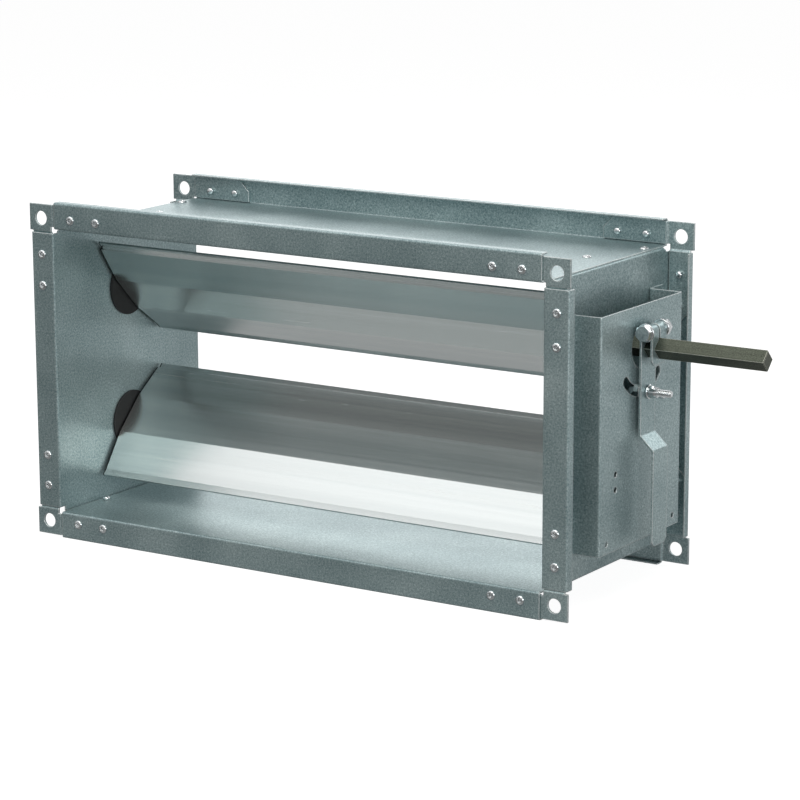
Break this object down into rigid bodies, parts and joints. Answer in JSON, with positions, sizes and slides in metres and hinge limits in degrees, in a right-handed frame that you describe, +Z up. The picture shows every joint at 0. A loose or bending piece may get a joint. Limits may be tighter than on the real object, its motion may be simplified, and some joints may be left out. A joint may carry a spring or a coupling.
{
  "type": "volume control damper",
  "caption": "Rectangular flanged duct damper: opposed hollow blades turned together by a lever and square bar, held by a wing nut.",
  "frame": {"origin": "centre of the front flange's four bolt holes, on the flange's outer face", "axes": "+X across the duct towards the lever, +Y along the air flow, +Z up"},
  "size_m": [0.5385, 0.1726, 0.2434],
  "materials": {
    "galvanised_sheet": "galvanised, finely mottled",
    "aluminium": "mill-finish extrusion",
    "black_plastic": "moulded",
    "zinc_fastener": "bright zinc plated",
    "passivated_bar": "dull passivated"
  },
  "bodies": {
    "casing": {"casing_top": "galvanised_sheet", "casing_bottom": "galvanised_sheet", "casing_right": "galvanised_sheet", "casing_left": "galvanised_sheet", "corner_front_top_right": "galvanised_sheet", "corner_front_top_left": "galvanised_sheet", "corner_front_bottom_right": "galvanised_sheet", "corner_front_bottom_left": "galvanised_sheet", "corner_rear_top_right": "galvanised_sheet", "corner_rear_top_left": "galvanised_sheet", "corner_rear_bottom_right": "galvanised_sheet", "corner_rear_bottom_left": "galvanised_sheet", "rivets_front_flange": "zinc_fastener", "rivets_rear_flange": "zinc_fastener", "rivets_seams": "zinc_fastener", "bush_right_upper": "black_plastic", "bush_left_upper": "black_plastic", "bush_right_lower": "black_plastic", "bush_left_lower": "black_plastic", "bracket_box": "galvanised_sheet", "rivets_bracket": "zinc_fastener"},
    "upper_blade": {"blade_upper": "aluminium", "drive_bar": "passivated_bar", "stub_upper_left": "passivated_bar", "sector_upper": "zinc_fastener", "lever": "galvanised_sheet", "clamp_bolt": "zinc_fastener", "clamp_nut": "zinc_fastener", "clamp_washers": "zinc_fastener", "lock_bolt": "zinc_fastener", "lock_washers": "zinc_fastener"},
    "lower_blade": {"blade_lower": "aluminium", "stub_lower_left": "passivated_bar", "stub_lower_right": "passivated_bar", "sector_lower": "zinc_fastener"},
    "wing_nut": {"wing_nut": "zinc_fastener"}
  },
  "joints": [
    {"name": "upper_blade_turn", "type": "hinge", "parent": "casing", "child": "upper_blade", "pos_m": [0, 0.085, 0.05], "axis": [1, 0, 0], "range_deg": [-45, 45]},
    {"name": "lower_blade_turn", "type": "hinge", "parent": "casing", "child": "lower_blade", "pos_m": [0, 0.085, -0.05], "axis": [1, 0, 0], "range_deg": [-45, 45]},
    {"name": "wing_nut_turn", "type": "hinge", "parent": "upper_blade", "child": "wing_nut", "pos_m": [0.235, 0.085, 0.02], "axis": [1, 0, 0], "continuous": true}
  ],
  "couplings": [
    {"joint": "lower_blade_turn", "follows": "upper_blade_turn", "ratio": -1}
  ]
}
